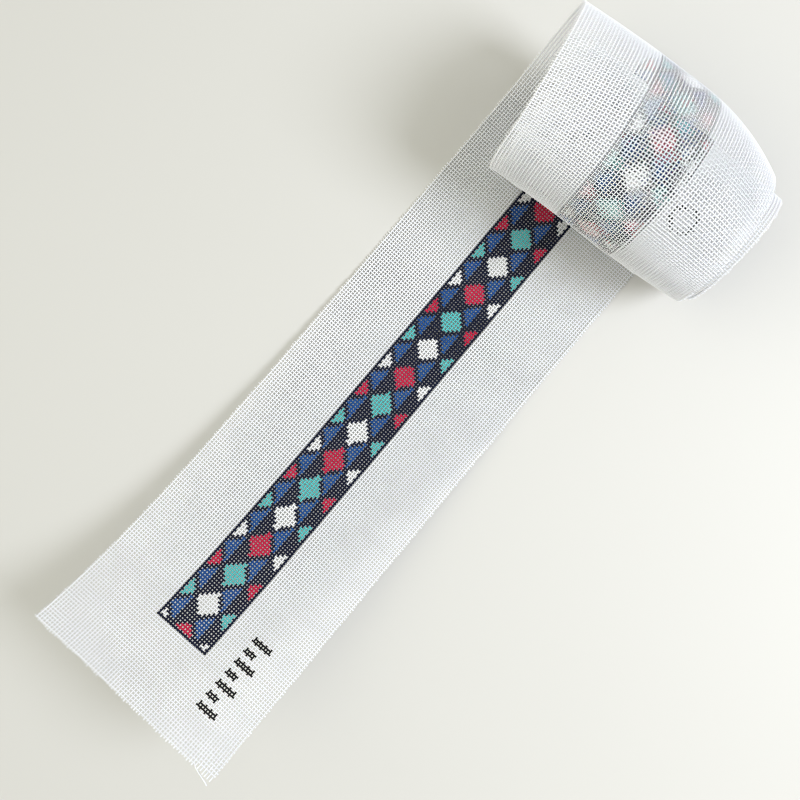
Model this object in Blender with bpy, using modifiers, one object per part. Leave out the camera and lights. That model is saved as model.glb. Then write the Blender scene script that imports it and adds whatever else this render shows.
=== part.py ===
"""Needlepoint canvas panel: one cut strip of mono canvas, its near end lifted off the table, its far end wound up.

Frame: +X across the strip, +Y along it towards the roll, +Z up, the table at Z = 0. The origin is on the
underside of the flat stretch, on the strip's centre line. The sheet is one surface, given by two lengths on
the canvas: across, from the centre line, and along, from the near cut edge. Lengths are millimetres until
the mesh is made.
"""

import math

import bmesh
import bpy
import numpy as np

# Canvas, counted in threads
THREADS_PER_INCH = 18
PITCH = 25.4 / THREADS_PER_INCH
WIDTH = 71 * PITCH
LENGTH = 530 * PITCH
SHEET = 1.0

# Near end, lifted off the table
FLAT_START = -35.0
NEAR_EDGE = -263.5
SLOW_LIFT = 22.0
SLOW_POWER = 1.6
END_LIFT = 23.0
END_POWER = 7.0
LIFT_TILT = 0.11
END_DRIFT = -3.6
DRIFT_POWER = 6.0

# Outer turn of the roll, loose and drawn in at its right end
CONTACT = 46.8
OUTER_RADIUS = 38.0
TAPER = 0.0028
TAPER_START = 18.0
CONTACT_BOW = 0.0008
CONTACT_BOW_AT = 38.0
SKEW_SHIFT = 19.4
SKEW_LENGTH = 152.5
LAYER = 2.0

# Inner turns of the roll
INNER_RADIUS = 28.5
INNER_CONE = 0.03
INNER_RIGHT = 70.0
INNER_AXIS = 43.5
INNER_AXIS_SLOPE = 0.045
INNER_SHIFT = 3.6
BLEND_START = math.radians(250)
BLEND_END = math.radians(400)
TURN = math.tau

# Steps of the sheet's grid
ACROSS_STEPS = 10
LIFT_STEPS = 20
FLAT_STEPS = 4
ROLL_STEPS = 92
CONTACT_MARGIN = 7.0
CURVE_SAMPLES = 4000

CANVAS_COLOUR = (0.80, 0.80, 0.78, 1.0)
CANVAS_ROUGHNESS = 0.85


def smooth(t):
    """0 to 1 with level ends."""
    t = np.clip(t, 0.0, 1.0)
    return t * t * (3 - 2 * t)


def lift_height(y):
    """Height of the sheet's centre line above the table, in front of the roll."""
    t = np.clip((FLAT_START - y) / (FLAT_START - NEAR_EDGE), 0.0, None)
    return SLOW_LIFT * t**SLOW_POWER + END_LIFT * t**END_POWER


def length_tables():
    """Two curves: canvas length against place along the strip, and winding angle against length past the contact."""
    y = np.linspace(NEAR_EDGE, CONTACT, CURVE_SAMPLES)
    steps = np.hypot(np.diff(y), np.diff(lift_height(y)))
    strip_length = np.concatenate([[0.0], np.cumsum(steps)])
    angle = np.linspace(0.0, 5 * TURN, CURVE_SAMPLES)
    blend = smooth((angle - BLEND_START) / (BLEND_END - BLEND_START))
    inner = INNER_RADIUS + INNER_CONE * INNER_RIGHT - LAYER * (angle - TURN) / TURN
    radius = OUTER_RADIUS + (inner - OUTER_RADIUS) * blend
    wound = np.concatenate([[0.0], np.cumsum((radius[1:] + radius[:-1]) / 2 * np.diff(angle))])
    return y, strip_length, angle, wound


STRIP_Y, STRIP_LENGTH, ROLL_ANGLE, ROLL_LENGTH = length_tables()
CONTACT_LENGTH = STRIP_LENGTH[-1]


def contact_line(x):
    """Place along the strip where the sheet leaves the table under the roll."""
    return CONTACT - CONTACT_BOW * (x - CONTACT_BOW_AT) ** 2


def outer_radius(x):
    return OUTER_RADIUS - TAPER * np.clip(x - TAPER_START, 0.0, None) ** 2


def strip_point(across, along):
    """Outer face of the stretch in front of the roll."""
    y = np.interp(along, STRIP_LENGTH, STRIP_Y) + np.clip(along - CONTACT_LENGTH, 0.0, None)
    t = np.clip((FLAT_START - y) / (FLAT_START - NEAR_EDGE), 0.0, 1.0)
    x = across + END_DRIFT * t**DRIFT_POWER
    z = lift_height(y) * (1 + LIFT_TILT * across / (WIDTH / 2))
    return x, y, z


def roll_point(across, along):
    """Outer face of the wound stretch: the loose outer turn, which runs askew, then the turns inside it."""
    past = along - CONTACT_LENGTH
    t = np.clip(past / SKEW_LENGTH, 0.0, 1.0)
    skew_slope = SKEW_SHIFT * 6 * t * (1 - t) / SKEW_LENGTH
    second_turn = (past - SKEW_LENGTH) / (TURN * OUTER_RADIUS)
    x = across + SKEW_SHIFT * smooth(t) + INNER_SHIFT * smooth(second_turn)
    length = past - (contact_line(across) - CONTACT) * (1 - t) - skew_slope * across
    angle = np.interp(length, ROLL_LENGTH, ROLL_ANGLE)
    blend = smooth((angle - BLEND_START) / (BLEND_END - BLEND_START))
    outer = outer_radius(x)
    rise = LAYER * smooth((angle - TURN / 2) / (TURN / 2))
    inner_bottom = INNER_RADIUS + INNER_CONE * (INNER_RIGHT - x)
    inner = inner_bottom - LAYER * (angle - TURN) / TURN
    inner_axis = INNER_AXIS + INNER_AXIS_SLOPE * x
    outer_y = contact_line(x) + outer * np.sin(angle)
    outer_z = outer + rise - outer * np.cos(angle)
    inner_y = inner_axis + inner * np.sin(angle)
    inner_z = LAYER + inner_bottom - inner * np.cos(angle)
    y = outer_y + (inner_y - outer_y) * blend
    z = outer_z + (inner_z - outer_z) * blend
    return x, y, z


def sheet_point(across, along):
    """Outer face of the sheet, which is its underside where it lies flat."""
    past = along - CONTACT_LENGTH
    if past <= contact_line(across) - CONTACT:
        return strip_point(across, along)
    return roll_point(across, along)


def row_stations():
    """Distances from the near edge of the grid's rows: closer where the sheet bends."""
    flat_length = np.interp(FLAT_START, STRIP_Y, STRIP_LENGTH)
    roll_start = CONTACT_LENGTH - CONTACT_MARGIN
    lift = np.linspace(0.0, flat_length, LIFT_STEPS + 1)
    flat = np.linspace(flat_length, roll_start, FLAT_STEPS + 1)
    roll = np.linspace(roll_start, LENGTH, ROLL_STEPS + 1)
    return np.concatenate([lift, flat[1:], roll[1:]])


def canvas_material():
    material = bpy.data.materials.new("canvas_cotton")
    material.use_nodes = True
    shader = material.node_tree.nodes["Principled BSDF"]
    shader.inputs["Base Color"].default_value = CANVAS_COLOUR
    shader.inputs["Roughness"].default_value = CANVAS_ROUGHNESS
    shader.inputs["Metallic"].default_value = 0.0
    return material


def make_canvas(collection):
    """The sheet: a grid laid along the strip and round the roll, made solid towards its painted face."""
    stations = row_stations()
    rows = len(stations) - 1
    mesh = bpy.data.meshes.new("canvas_sheet")
    grid = bmesh.new()
    bmesh.ops.create_grid(grid, x_segments=ACROSS_STEPS, y_segments=rows, size=0.5)
    for vert in grid.verts:
        across = vert.co.x * WIDTH
        along = stations[round((vert.co.y + 0.5) * rows)]
        vert.co = [value / 1000 for value in sheet_point(across, along)]
    grid.to_mesh(mesh)
    grid.free()
    mesh.shade_smooth()
    mesh.materials.append(canvas_material())
    canvas = bpy.data.objects.new("canvas_sheet", mesh)
    collection.objects.link(canvas)
    solid = canvas.modifiers.new("thickness", "SOLIDIFY")
    solid.thickness = SHEET / 1000
    solid.offset = 1.0
    solid.use_even_offset = True
    return canvas


def main():
    for obj in list(bpy.data.objects):
        bpy.data.objects.remove(obj, do_unlink=True)
    collection = bpy.data.collections.new("needlepoint_canvas_panel")
    bpy.context.scene.collection.children.link(collection)
    make_canvas(collection)


main()
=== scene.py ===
"""Looks of the needlepoint canvas panel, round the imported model: the canvas woven thread by thread.

Warp threads run along the strip and weft threads across it, each over and under the others in turn. A place
on the canvas is (across, along) in millimetres, across from the centre line and along from the near cut
edge, as in the solids. A crossing is (column, row), both counted from 0 at the near left corner. Coordinates
are millimetres until a mesh is made.
"""

import math

import bpy
import numpy as np
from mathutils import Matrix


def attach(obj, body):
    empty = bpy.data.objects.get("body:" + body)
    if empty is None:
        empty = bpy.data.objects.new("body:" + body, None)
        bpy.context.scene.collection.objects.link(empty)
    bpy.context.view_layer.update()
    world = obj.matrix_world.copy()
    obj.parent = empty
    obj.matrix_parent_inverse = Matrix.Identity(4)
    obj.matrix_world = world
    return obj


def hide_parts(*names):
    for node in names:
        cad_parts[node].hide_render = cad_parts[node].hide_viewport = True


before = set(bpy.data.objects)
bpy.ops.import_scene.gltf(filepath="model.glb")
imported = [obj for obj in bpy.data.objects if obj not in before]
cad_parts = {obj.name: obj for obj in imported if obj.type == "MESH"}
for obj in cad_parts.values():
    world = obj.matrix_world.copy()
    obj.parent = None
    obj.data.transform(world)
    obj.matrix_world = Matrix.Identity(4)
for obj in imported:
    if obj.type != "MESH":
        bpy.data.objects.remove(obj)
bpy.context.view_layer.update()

# Canvas, counted in threads
PITCH = 25.4 / 18
COLUMNS = 71
ROWS = 530
WIDTH = COLUMNS * PITCH
SHEET = 1.0

# Near end, lifted off the table
FLAT_START = -35.0
NEAR_EDGE = -263.5
SLOW_LIFT = 22.0
SLOW_POWER = 1.6
END_LIFT = 23.0
END_POWER = 7.0
LIFT_TILT = 0.11
END_DRIFT = -3.6
DRIFT_POWER = 6.0

# Outer turn of the roll
CONTACT = 46.8
OUTER_RADIUS = 38.0
TAPER = 0.0028
TAPER_START = 18.0
CONTACT_BOW = 0.0008
CONTACT_BOW_AT = 38.0
SKEW_SHIFT = 19.4
SKEW_LENGTH = 152.5
LAYER = 2.0

# Inner turns of the roll
INNER_RADIUS = 28.5
INNER_CONE = 0.03
INNER_RIGHT = 70.0
INNER_AXIS = 43.5
INNER_AXIS_SLOPE = 0.045
INNER_SHIFT = 3.6
BLEND_START = math.radians(250)
BLEND_END = math.radians(400)
TURN = math.tau
CURVE_SAMPLES = 4000

# Threads: half sizes, how far each waves up and down, and the points round it
HALF_WIDTH = 0.36
HALF_HEIGHT = 0.21
WAVE = 0.2
RING = 4
PAINT_SWELL = 1.09

# Cut ends: wider and flatter than the thread, and a little past the last crossing, in threads
END_FLARE = 1.25
END_WAVE = 0.3
END_PAST = (-0.1, 0.35)

# Unevenness: how far crossings wander, in threads, in broad and fine patches and thread by thread
DRIFT = 0.05
BROAD_PATCHES = (5, 40)
FINE_PATCHES = (24, 200)
FINE_SHARE = 0.6
THREAD_SHARE = 0.5
WIDTH_SPREAD = 0.05

# Loose end of the first weft thread, at the near right corner. Columns: right, out past the edge, down
LOOSE_COLUMN = 64
LOOSE_PATH = (
    (0.0, 0.0, 0.0),
    (1.7, 1.1, 0.1),
    (3.6, 2.1, 0.4),
    (5.7, 2.8, 0.9),
    (7.8, 3.9, 1.6),
    (9.9, 5.2, 2.6),
)
LOOSE_PLACES = 24
LOOSE_PLACE_STEP = 0.6
LOOSE_WAVES = 2
LOOSE_FLATNESS = 0.7

# Painted places, in threads
BAND_COLUMNS = (25, 45)
BAND_ROWS = (24, 506)
LOZENGE_REACH = (5, 6)
LOZENGE_EDGE = 0.15
GAUGE_COLUMN = 53
GAUGE_ROWS = (12, 38)
GAUGE_PITCH = 4
GAUGE_BAR = 2
GAUGE_LONG = 7
GAUGE_SHORT = 4
MARK_CENTRE = (50.5, 468.0)
MARK_RADIUS = 3.6
MARK_HALF_WIDTH = 0.5
BARE, NAVY, BLUE, RED, TURQUOISE, WHITE, INK = range(7)


def smooth(t):
    """0 to 1 with level ends."""
    t = np.clip(t, 0.0, 1.0)
    return t * t * (3 - 2 * t)


# The sheet's surface


def lift_height(y):
    t = np.clip((FLAT_START - y) / (FLAT_START - NEAR_EDGE), 0.0, None)
    return SLOW_LIFT * t**SLOW_POWER + END_LIFT * t**END_POWER


def length_tables():
    y = np.linspace(NEAR_EDGE, CONTACT, CURVE_SAMPLES)
    steps = np.hypot(np.diff(y), np.diff(lift_height(y)))
    strip_length = np.concatenate([[0.0], np.cumsum(steps)])
    angle = np.linspace(0.0, 5 * TURN, CURVE_SAMPLES)
    blend = smooth((angle - BLEND_START) / (BLEND_END - BLEND_START))
    inner = INNER_RADIUS + INNER_CONE * INNER_RIGHT - LAYER * (angle - TURN) / TURN
    radius = OUTER_RADIUS + (inner - OUTER_RADIUS) * blend
    wound = np.concatenate([[0.0], np.cumsum((radius[1:] + radius[:-1]) / 2 * np.diff(angle))])
    return y, strip_length, angle, wound


STRIP_Y, STRIP_LENGTH, ROLL_ANGLE, ROLL_LENGTH = length_tables()
CONTACT_LENGTH = STRIP_LENGTH[-1]


def contact_line(x):
    return CONTACT - CONTACT_BOW * (x - CONTACT_BOW_AT) ** 2


def strip_point(across, along):
    y = np.interp(along, STRIP_LENGTH, STRIP_Y)
    y = y + np.clip(along - CONTACT_LENGTH, 0.0, None) + np.clip(along, None, 0.0)
    t = np.clip((FLAT_START - y) / (FLAT_START - NEAR_EDGE), 0.0, 1.0)
    x = across + END_DRIFT * t**DRIFT_POWER
    z = lift_height(y) * (1 + LIFT_TILT * across / (WIDTH / 2))
    return np.stack([x, y, z], axis=-1)


def roll_point(across, along):
    past = along - CONTACT_LENGTH
    t = np.clip(past / SKEW_LENGTH, 0.0, 1.0)
    skew_slope = SKEW_SHIFT * 6 * t * (1 - t) / SKEW_LENGTH
    second_turn = (past - SKEW_LENGTH) / (TURN * OUTER_RADIUS)
    x = across + SKEW_SHIFT * smooth(t) + INNER_SHIFT * smooth(second_turn)
    length = past - (contact_line(across) - CONTACT) * (1 - t) - skew_slope * across
    angle = np.interp(length, ROLL_LENGTH, ROLL_ANGLE)
    blend = smooth((angle - BLEND_START) / (BLEND_END - BLEND_START))
    outer = OUTER_RADIUS - TAPER * np.clip(x - TAPER_START, 0.0, None) ** 2
    rise = LAYER * smooth((angle - TURN / 2) / (TURN / 2))
    inner_bottom = INNER_RADIUS + INNER_CONE * (INNER_RIGHT - x)
    inner = inner_bottom - LAYER * (angle - TURN) / TURN
    inner_axis = INNER_AXIS + INNER_AXIS_SLOPE * x
    outer_y = contact_line(x) + outer * np.sin(angle)
    outer_z = outer + rise - outer * np.cos(angle)
    inner_y = inner_axis + inner * np.sin(angle)
    inner_z = LAYER + inner_bottom - inner * np.cos(angle)
    y = outer_y + (inner_y - outer_y) * blend
    z = outer_z + (inner_z - outer_z) * blend
    return np.stack([x, y, z], axis=-1)


def outer_face(across, along):
    """The sheet's outer face: its underside where it lies flat."""
    on_strip = along - CONTACT_LENGTH <= contact_line(across) - CONTACT
    return np.where(on_strip[..., None], strip_point(across, along), roll_point(across, along))


def unit(v):
    return v / np.linalg.norm(v, axis=-1, keepdims=True)


def sheet_frame(across, along):
    """Middle of the sheet's thickness, the directions across and along it, and towards its painted face."""
    step = 0.3
    to_right = outer_face(across + step, along) - outer_face(across - step, along)
    to_end = outer_face(across, along + step) - outer_face(across, along - step)
    up = unit(np.cross(to_right, to_end))
    middle = outer_face(across, along) + up * SHEET / 2
    return middle, unit(to_right), unit(to_end), up


# Unevenness of the weave


def soft_noise(rng, shape, cells):
    """Smooth random values from -1 to 1 on a grid."""
    knots = rng.uniform(-1, 1, (cells[0] + 2, cells[1] + 2))
    a = np.linspace(0, cells[0], shape[0])
    b = np.linspace(0, cells[1], shape[1])
    ia, ib = a.astype(int), b.astype(int)
    fa, fb = smooth(a - ia)[:, None], smooth(b - ib)[None, :]
    near = knots[ia][:, ib] * (1 - fa) + knots[ia + 1][:, ib] * fa
    far = knots[ia][:, ib + 1] * (1 - fa) + knots[ia + 1][:, ib + 1] * fa
    return near * (1 - fb) + far * fb


def wander(seed):
    """How far each crossing is off its even place along one axis, in pitches, by column and row."""
    rng = np.random.default_rng(seed)
    shape = (COLUMNS, ROWS)
    broad = soft_noise(rng, shape, BROAD_PATCHES)
    fine = soft_noise(rng, shape, FINE_PATCHES)
    return DRIFT * (broad + FINE_SHARE * fine)


WANDER_ACROSS = wander(11) + DRIFT * np.random.default_rng(12).normal(0, THREAD_SHARE, (COLUMNS, 1))
WANDER_ALONG = wander(21) + DRIFT * np.random.default_rng(22).normal(0, THREAD_SHARE, (1, ROWS))


def canvas_place(column, row):
    """(across, along) of a place given in threads, with the weave's unevenness."""
    i = np.clip(column.astype(int), 0, COLUMNS - 1)
    j = np.clip(row.astype(int), 0, ROWS - 1)
    across = (column + WANDER_ACROSS[i, j]) * PITCH - WIDTH / 2
    along = (row + WANDER_ALONG[i, j]) * PITCH
    return across, along


# Paint


def lozenge_colour(column, row):
    """Traditional harlequin in a plain border: outlined lozenges, the blue ones half navy."""
    u = (column - BAND_COLUMNS[0] + 0.5) / LOZENGE_REACH[0]
    v = (row - BAND_ROWS[0] + 0.5) / LOZENGE_REACH[1]
    p, q = np.round((u + v) / 2), np.round((u - v) / 2)
    inside = 1 - np.maximum(abs(u + v - 2 * p), abs(u - v - 2 * q))
    tier, place = (p - q).astype(int), (p + q).astype(int)
    accents = np.array([RED, WHITE, TURQUOISE])
    accent = accents[(tier // 2 + (place != 2)) % 3]
    fill = np.where(tier % 2 == 0, accent, BLUE)
    fill = np.where((tier % 2 == 1) & (u > p + q), NAVY, fill)
    on_side = (column == BAND_COLUMNS[0]) | (column == BAND_COLUMNS[1] - 1)
    on_end = (row == BAND_ROWS[0]) | (row == BAND_ROWS[1] - 1)
    return np.where((inside < LOZENGE_EDGE) | on_side | on_end, NAVY, fill)


def gauge_colour(column, row):
    """Plain counting marks beside the band: bars across the strip, long and short in turn."""
    step = row - GAUGE_ROWS[0]
    reach = np.where(step % (2 * GAUGE_PITCH) < GAUGE_BAR, GAUGE_LONG, GAUGE_SHORT)
    on_bar = (step % GAUGE_PITCH < GAUGE_BAR) & (column >= GAUGE_COLUMN) & (column < GAUGE_COLUMN + reach)
    in_rows = (row >= GAUGE_ROWS[0]) & (row < GAUGE_ROWS[1])
    return np.where(in_rows & on_bar, INK, BARE)


def mark_colour(column, row):
    """Plain ring beside the band, on the inner turn at the roll's top."""
    from_centre = np.hypot(column - MARK_CENTRE[0], row - MARK_CENTRE[1])
    return np.where(abs(from_centre - MARK_RADIUS) < MARK_HALF_WIDTH, INK, BARE)


def paint_chart():
    """Colour of every crossing, by column and row."""
    column, row = np.meshgrid(np.arange(COLUMNS), np.arange(ROWS), indexing="ij")
    in_band = (
        (column >= BAND_COLUMNS[0])
        & (column < BAND_COLUMNS[1])
        & (row >= BAND_ROWS[0])
        & (row < BAND_ROWS[1])
    )
    marks = np.maximum(gauge_colour(column, row), mark_colour(column, row))
    return np.where(in_band, lozenge_colour(column, row), marks)


CHART = paint_chart()


# Threads


def ring_points(centre, side, up, half_width, half_height):
    """Four points round each place of each thread: top, side, underneath, other side."""
    w, h = half_width[..., None], half_height[..., None]
    return np.stack([centre + up * h, centre + side * w, centre - up * h, centre - side * w], axis=2)


class Cloth:
    """Tubes gathered into one mesh."""

    def __init__(self):
        self.points, self.quads, self.colours, self.around, self.face_runs = [], [], [], [], []
        self.count = 0

    def add(self, rings, colours, lengths):
        """rings: (tube, place, 4, xyz). colours: (tube, segment). lengths: (tube, place) along the thread."""
        tubes, places = rings.shape[:2]
        first = self.count + np.arange(tubes * places).reshape(tubes, places)[..., None] * RING
        ring = first + np.arange(RING)
        turned = np.roll(ring, -1, axis=2)
        quads = np.stack([ring[:, :-1], turned[:, :-1], turned[:, 1:], ring[:, 1:]], axis=-1)
        start, end = ring[:, 0, ::-1], ring[:, -1]
        step = np.broadcast_to(np.arange(RING) / RING, quads.shape[:3])
        near = np.broadcast_to(lengths[:, :-1, None], quads.shape[:3])
        far = np.broadcast_to(lengths[:, 1:, None], quads.shape[:3])
        corners = np.stack([near, step, near, step + 1 / RING, far, step + 1 / RING, far, step], axis=-1)
        caps = np.zeros((2 * tubes, 8))
        self.points.append(rings.reshape(-1, 3))
        self.quads += [quads.reshape(-1, 4), start, end]
        self.colours += [np.repeat(colours.reshape(-1), RING), colours[:, 0], colours[:, -1]]
        self.around += [corners.reshape(-1, 8), caps]
        self.face_runs.append((quads.shape[0] * quads.shape[1] * RING, 2 * tubes))
        self.count += tubes * places * RING

    def make(self, name, materials, back_soak_and_shade):
        points = np.concatenate(self.points) / 1000
        quads = np.concatenate(self.quads)
        mesh = bpy.data.meshes.new(name)
        mesh.vertices.add(len(points))
        mesh.vertices.foreach_set("co", points.astype(np.float32).ravel())
        mesh.loops.add(quads.size)
        mesh.loops.foreach_set("vertex_index", quads.astype(np.int32).ravel())
        mesh.polygons.add(len(quads))
        mesh.polygons.foreach_set("loop_start", np.arange(0, quads.size, 4, dtype=np.int32))
        rounded = np.concatenate([np.repeat([1, 0], run) for run in self.face_runs]).astype(bool)
        mesh.polygons.foreach_set("use_smooth", rounded)
        used = sorted(set(np.concatenate(self.colours).tolist()))
        for colour in used:
            mesh.materials.append(materials[colour])
        slots = np.searchsorted(used, np.concatenate(self.colours))
        mesh.polygons.foreach_set("material_index", slots.astype(np.int32))
        uv = mesh.uv_layers.new(name="thread")
        uv.uv.foreach_set("vector", np.concatenate(self.around).astype(np.float32).ravel())
        depth = mesh.attributes.new("paint_depth", "FLOAT", "POINT")
        ring_depth = np.tile(np.array([1.0, 1.0, back_soak_and_shade, 1.0], np.float32), len(points) // RING)
        depth.data.foreach_set("value", ring_depth)
        mesh.update()
        mesh.validate()
        piece = bpy.data.objects.new(name, mesh)
        bpy.context.scene.collection.objects.link(piece)
        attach(piece, "root")
        return piece


def end_places(index, at, limit, seed):
    """Where threads stop: at a join with the next piece, or a little past the last crossing at a cut edge."""
    if at not in (0, limit):
        return np.full(len(index), float(at))
    rng = np.random.default_rng(seed)
    past = rng.uniform(*END_PAST, limit + ROWS)[index]
    return -past if at == 0 else limit + past


def smooth_path(points, count):
    """Places along a curve through the points."""
    points = np.asarray(points)
    knots = np.concatenate([[2 * points[0] - points[1]], points, [2 * points[-1] - points[-2]]])
    t = np.linspace(0, len(points) - 1, count)
    i = np.minimum(t.astype(int), len(points) - 2)
    f = (t - i)[:, None]
    a, b, c, d = knots[i], knots[i + 1], knots[i + 2], knots[i + 3]
    return b + 0.5 * f * (c - a + f * (2 * a - 5 * b + 4 * c - d + f * (3 * (b - c) + d - a)))


def lay_loose_thread(cloth):
    """The end of the first weft thread, out of the weave and drooping past the near edge."""
    across, along = canvas_place(np.array([LOOSE_COLUMN + 0.0]), np.array([0.5]))
    root = sheet_frame(across, along)[0][0]
    steps = np.array(LOOSE_PATH)
    path = root + smooth_path(np.stack([steps[:, 0], -steps[:, 1], -steps[:, 2]], axis=1), LOOSE_PLACES)
    way = unit(np.gradient(path, axis=0))
    side = unit(np.cross(way, (0.0, 0.0, 1.0)))
    up = np.cross(side, way)
    wave = WAVE * np.sin(np.linspace(0, LOOSE_WAVES * TURN, LOOSE_PLACES))[:, None]
    half_width = np.full((1, LOOSE_PLACES), HALF_WIDTH)
    half_width[0, -1] *= END_FLARE
    half_height = half_width * LOOSE_FLATNESS
    rings = ring_points((path + up * wave)[None], side[None], up[None], half_width, half_height)
    colours = np.full((1, LOOSE_PLACES - 1), BARE)
    cloth.add(rings, colours, np.arange(LOOSE_PLACES)[None] * LOOSE_PLACE_STEP)


def lay_threads(cloth, index, start, stop, warp, swell=1.0):
    """Adds warp threads between two rows, or weft threads between two columns, at these columns or rows."""
    index = np.asarray(index)
    limit = ROWS if warp else COLUMNS
    crossing = np.arange(start, stop)
    places = np.empty((len(index), len(crossing) + 2))
    places[:, 1:-1] = crossing + 0.5
    places[:, 0] = end_places(index, start, limit, seed=31 + warp)
    places[:, -1] = end_places(index, stop, limit, seed=33 + warp)
    other = np.broadcast_to(index[:, None] + 0.5, places.shape)
    column, row = (other, places) if warp else (places, other)
    across, along = canvas_place(column, row)
    middle, to_right, to_end, up = sheet_frame(across, along)
    over = (index[:, None] + crossing[None, :]) % 2 == (0 if warp else 1)
    wave = np.zeros(places.shape)
    wave[:, 1:-1] = np.where(over, WAVE, -WAVE)
    rng = np.random.default_rng(41 + warp)
    spread = 1 + WIDTH_SPREAD * rng.normal(0, 1, COLUMNS + ROWS)[index][:, None]
    half_width = HALF_WIDTH * swell * spread * np.ones(places.shape)
    half_height = HALF_HEIGHT * np.ones(places.shape)
    for end, beside, at in ((0, 1, start), (-1, -2, stop)):
        if at in (0, limit):
            wave[:, end] = wave[:, beside] * END_WAVE
            half_width[:, end] *= END_FLARE
    side = to_right if warp else -to_end
    rings = ring_points(middle + up * wave[..., None], side, up, half_width, half_height)
    chart = CHART[index][:, crossing] if warp else CHART[crossing][:, index].T
    peak = np.where(over[:, :-1], chart[:, :-1], chart[:, 1:])
    colours = np.concatenate([chart[:, :1], peak, chart[:, -1:]], axis=1)
    cloth.add(rings, colours, places * PITCH)


def woven_canvas(first, last):
    """The bare margins between two rows, and the whole width outside the painted band's rows."""
    cloth = Cloth()
    left, right = BAND_COLUMNS
    margins = np.r_[0:left, right:COLUMNS]
    lay_threads(cloth, margins, first, last, warp=True)
    rows = np.arange(first, last)
    beside = rows[(rows >= BAND_ROWS[0]) & (rows < BAND_ROWS[1])]
    full = np.setdiff1d(rows, beside)
    lay_threads(cloth, beside, 0, left, warp=False)
    lay_threads(cloth, beside, right, COLUMNS, warp=False)
    if first == 0:
        lay_threads(cloth, [0], 0, LOOSE_COLUMN, warp=False)
        lay_loose_thread(cloth)
    if len(full):
        lay_threads(cloth, full[full > 0], 0, COLUMNS, warp=False)
        lay_threads(cloth, np.arange(left, right), full[0], full[-1] + 1, warp=True)
    return cloth


def woven_band(first, last):
    """The painted columns between two rows."""
    cloth = Cloth()
    first, last = max(first, BAND_ROWS[0]), min(last, BAND_ROWS[1])
    lay_threads(cloth, np.arange(*BAND_COLUMNS), first, last, warp=True, swell=PAINT_SWELL)
    lay_threads(cloth, np.arange(first, last), *BAND_COLUMNS, warp=False, swell=PAINT_SWELL)
    return cloth


# Materials


def node(tree, kind, **inputs):
    """A node, with its inputs, by name or as n0, n1 and so on, set to numbers or linked from sockets."""
    made = tree.nodes.new(kind)
    for name, value in inputs.items():
        numbered = name[0] == "n" and name[1:].isdigit()
        socket = made.inputs[int(name[1:]) if numbered else name.replace("_", " ")]
        if isinstance(value, bpy.types.NodeSocket):
            tree.links.new(value, socket)
        else:
            socket.default_value = value
    return made


def maths(tree, operation, *values):
    """Result of a sum on numbers or sockets."""
    made = node(tree, "ShaderNodeMath", **{f"n{i}": value for i, value in enumerate(values)})
    made.operation = operation
    return made.outputs[0]


def noise_tone(tree, noise, low, high):
    """The middle of a noise's range, spread from low to high."""
    return node(tree, "ShaderNodeMapRange", n0=noise.outputs[0], n1=0.3, n2=0.7, n3=low, n4=high).outputs[0]


def toned(tree, colour, tone):
    """A colour made lighter or darker."""
    made = node(tree, "ShaderNodeVectorMath", n0=colour[:3], n3=tone)
    made.operation = "SCALE"
    return made.outputs[0]


COTTON = (0.915, 0.93, 0.985, 1.0)
TWIST = 5.5
# Painted shade: how much darker the thread's sides are coloured where they face the holes, and how sharply it
# gathers there
FLANK_PAINTED_SHADE = 0.66
FLANK_SHADE_POWER = 4.0
SOAK_FADE = 0.2


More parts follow.
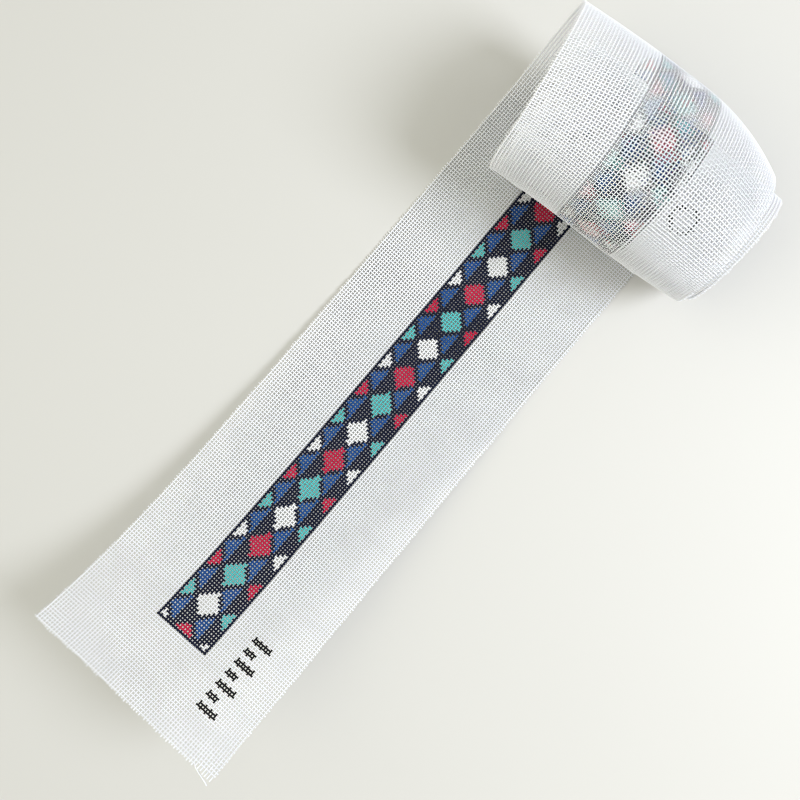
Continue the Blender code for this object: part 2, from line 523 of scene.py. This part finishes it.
def thread_material(name, paint=None, roughness=0.7, soak=0.6):
    """Twisted cotton thread, bare where paint_depth is under soak and painted a little above it, with painted
    shade darkening its sides.
    """
    material = bpy.data.materials.new(name)
    material.use_nodes = True
    tree = material.node_tree
    shader = tree.nodes["Principled BSDF"]
    place = tree.nodes.new("ShaderNodeTexCoord").outputs["Object"]
    blotches = node(tree, "ShaderNodeTexNoise", Vector=place, Scale=90.0, Detail=3.0)
    fibres = node(tree, "ShaderNodeTexNoise", Vector=place, Scale=2600.0, Detail=2.0)
    along = tree.nodes.new("ShaderNodeUVMap")
    along.uv_map = "thread"
    parts = node(tree, "ShaderNodeSeparateXYZ", Vector=along.outputs["UV"])
    slant = maths(tree, "MULTIPLY", parts.outputs["X"], TWIST)
    turned = maths(tree, "MULTIPLY", parts.outputs["Y"], TURN)
    twist = maths(tree, "SINE", maths(tree, "ADD", slant, turned))
    # Painted shade: the colour darkens on the thread's sides, towards the holes between threads, where shade
    # falls
    steep = maths(tree, "POWER", maths(tree, "SINE", turned), FLANK_SHADE_POWER)
    painted_flank_shade = node(tree, "ShaderNodeMapRange", n0=steep, n3=1.0, n4=FLANK_PAINTED_SHADE)
    blotches_and_painted_shade = maths(tree, "MULTIPLY", noise_tone(tree, blotches, 0.95, 1.03), painted_flank_shade.outputs[0])
    colour = toned(tree, paint or COTTON, blotches_and_painted_shade)
    if paint is not None:
        depth = tree.nodes.new("ShaderNodeAttribute")
        depth.attribute_name = "paint_depth"
        soaked = node(tree, "ShaderNodeMapRange", n0=depth.outputs["Fac"], n1=soak, n2=soak + SOAK_FADE)
        soaked.interpolation_type = "SMOOTHSTEP"
        mixed = node(tree, "ShaderNodeMix")
        mixed.data_type = "RGBA"
        tree.links.new(soaked.outputs[0], mixed.inputs["Factor"])
        mixed.inputs[6].default_value = COTTON
        tree.links.new(colour, mixed.inputs[7])
        colour = mixed.outputs[2]
    tree.links.new(colour, shader.inputs["Base Color"])
    fuzz = maths(tree, "ADD", maths(tree, "MULTIPLY", twist, 0.5), fibres.outputs[0])
    bump = node(tree, "ShaderNodeBump", Height=fuzz, Strength=0.35, Distance=0.00005)
    tree.links.new(bump.outputs[0], shader.inputs["Normal"])
    shader.inputs["Roughness"].default_value = roughness
    shader.inputs["Specular IOR Level"].default_value = 0.15
    shader.inputs["Subsurface Weight"].default_value = 0.6
    shader.inputs["Subsurface Radius"].default_value = (1.0, 1.0, 1.0)
    shader.inputs["Subsurface Scale"].default_value = 0.0006
    return material


TABLE = (0.60, 0.592, 0.568)


def table_material():
    material = bpy.data.materials.new("pale_table")
    material.use_nodes = True
    tree = material.node_tree
    shader = tree.nodes["Principled BSDF"]
    place = tree.nodes.new("ShaderNodeTexCoord").outputs["Object"]
    cloudy = node(tree, "ShaderNodeTexNoise", Vector=place, Scale=3.0, Detail=2.0)
    colour = toned(tree, TABLE, noise_tone(tree, cloudy, 0.99, 1.01))
    tree.links.new(colour, shader.inputs["Base Color"])
    shader.inputs["Roughness"].default_value = 0.6
    return material


MATERIALS = {
    BARE: thread_material("sized_cotton"),
    NAVY: thread_material("paint_navy", (0.006, 0.009, 0.028, 1.0), roughness=0.55, soak=0.48),
    BLUE: thread_material("paint_blue", (0.016, 0.080, 0.290, 1.0), roughness=0.5, soak=0.5),
    RED: thread_material("paint_red", (0.540, 0.016, 0.062, 1.0), roughness=0.5, soak=0.65),
    TURQUOISE: thread_material("paint_turquoise", (0.120, 0.530, 0.540, 1.0), roughness=0.5, soak=0.58),
    WHITE: thread_material("paint_white", (0.925, 0.930, 0.965, 1.0), roughness=0.5),
    INK: thread_material("paint_black", (0.007, 0.007, 0.009, 1.0), roughness=0.55, soak=0.48),
}


# Pieces

# Name, first and last row, how it is held, what it rests on, and how deep paint has soaked at its back, which
# on the inner turn is also painted shade
STRETCHES = (
    ("strip", 0, 215, "laid", "floor", 0.0),
    ("outer_turn", 215, 390, "folded", "canvas_strip", 0.0),
    # The inner turn's back is stained deeper than the rest of the canvas: partly paint soaked through, partly
    # painted shade between the roll's layers, seen through the outer turn's holes
    ("inner_turn", 390, 530, "folded", "canvas_outer_turn", 0.72),
)


def make_cloth():
    pieces = {}
    for name, first, last, held, under, back_soak_and_shade in STRETCHES:
        canvas = woven_canvas(first, last).make("canvas_" + name, MATERIALS, back_soak_and_shade)
        band = woven_band(first, last).make("band_" + name, MATERIALS, back_soak_and_shade)
        pieces[canvas.name], pieces[band.name] = canvas, band
    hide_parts("canvas_sheet")


FLOOR_SIZE = 6.0


def make_floor():
    bpy.ops.mesh.primitive_plane_add(size=FLOOR_SIZE, location=(0, 0, 0))
    floor = bpy.context.object
    floor.name = "floor"
    floor.data.materials.append(table_material())


# Light and camera, in metres

# A soft window to the right, beyond the roll
WINDOW_PLACE = (0.76, 0.40, 0.92)
WINDOW_AIM = (0, -0.05, 0)
WINDOW_SIZE = 0.65
WINDOW_POWER = 14.7
WINDOW_COLOUR = (0.885, 0.915, 1.0)


def make_window():
    light = bpy.data.lights.new("window", "AREA")
    light.shape = "DISK"
    light.size = WINDOW_SIZE
    light.energy = WINDOW_POWER
    light.color = WINDOW_COLOUR
    window = bpy.data.objects.new("window", light)
    bpy.context.scene.collection.objects.link(window)
    window.location = WINDOW_PLACE
    towards = np.array(WINDOW_AIM) - np.array(WINDOW_PLACE)
    flat = math.hypot(towards[0], towards[1])
    window.rotation_euler = (math.atan2(flat, -towards[2]), 0, math.atan2(-towards[0], towards[1]))


# Light from the room, by direction: brighter beyond the roll, with a warm glow from the near left
BRIGHT_SIDE = (0.20, 0.68, 0.70)
BRIGHT_SKY = (0.64, 0.65, 0.60, 1.0)
DIM_SKY = (0.28, 0.275, 0.22, 1.0)
SKY_FADE = (-0.4, 1.0)
FRONT_SIDE = (-0.62, -0.64, 0.45)
FRONT_GLOW = (1.90, 1.86, 1.62, 1.0)
GLOW_FADE = (0.6, 1.0)


def share_towards(tree, way, side, fade):
    """0 to 1 as a direction turns towards a side."""
    facing = node(tree, "ShaderNodeVectorMath", n0=way, n1=side)
    facing.operation = "DOT_PRODUCT"
    share = node(tree, "ShaderNodeMapRange", n0=facing.outputs["Value"], n1=fade[0], n2=fade[1])
    share.interpolation_type = "SMOOTHSTEP"
    return share.outputs[0]


def make_world():
    world = bpy.data.worlds.new("soft_room")
    world.use_nodes = True
    tree = world.node_tree
    background = tree.nodes["Background"]
    way = tree.nodes.new("ShaderNodeTexCoord").outputs["Generated"]
    sky = node(tree, "ShaderNodeMix")
    sky.data_type = "RGBA"
    tree.links.new(share_towards(tree, way, BRIGHT_SIDE, SKY_FADE), sky.inputs[0])
    sky.inputs[6].default_value = DIM_SKY
    sky.inputs[7].default_value = BRIGHT_SKY
    glow = node(tree, "ShaderNodeMix")
    glow.data_type = "RGBA"
    glow.blend_type = "ADD"
    tree.links.new(share_towards(tree, way, FRONT_SIDE, GLOW_FADE), glow.inputs[0])
    tree.links.new(sky.outputs[2], glow.inputs[6])
    glow.inputs[7].default_value = FRONT_GLOW
    tree.links.new(glow.outputs[2], background.inputs["Color"])
    background.inputs["Strength"].default_value = 1.0
    bpy.context.scene.world = world


# The camera looks straight down, turned so that the strip runs up to the right
CAMERA_PLACE = (0.00465, -0.095, 0.376)
CAMERA_TURN = math.atan2(0.646, 0.763)


def make_camera():
    data = bpy.data.cameras.new("camera")
    data.lens = 36
    data.sensor_width = 36
    data.clip_start = 0.01
    camera = bpy.data.objects.new("camera", data)
    camera.location = CAMERA_PLACE
    camera.rotation_euler = (0, 0, CAMERA_TURN)
    bpy.context.scene.collection.objects.link(camera)
    bpy.context.scene.camera = camera


make_camera()
make_cloth()
make_floor()
make_window()
make_world()
bpy.context.scene.view_settings.view_transform = "Standard"
bpy.context.scene.cycles.filter_width = 1.0
bpy.context.scene.cycles.diffuse_bounces = 8
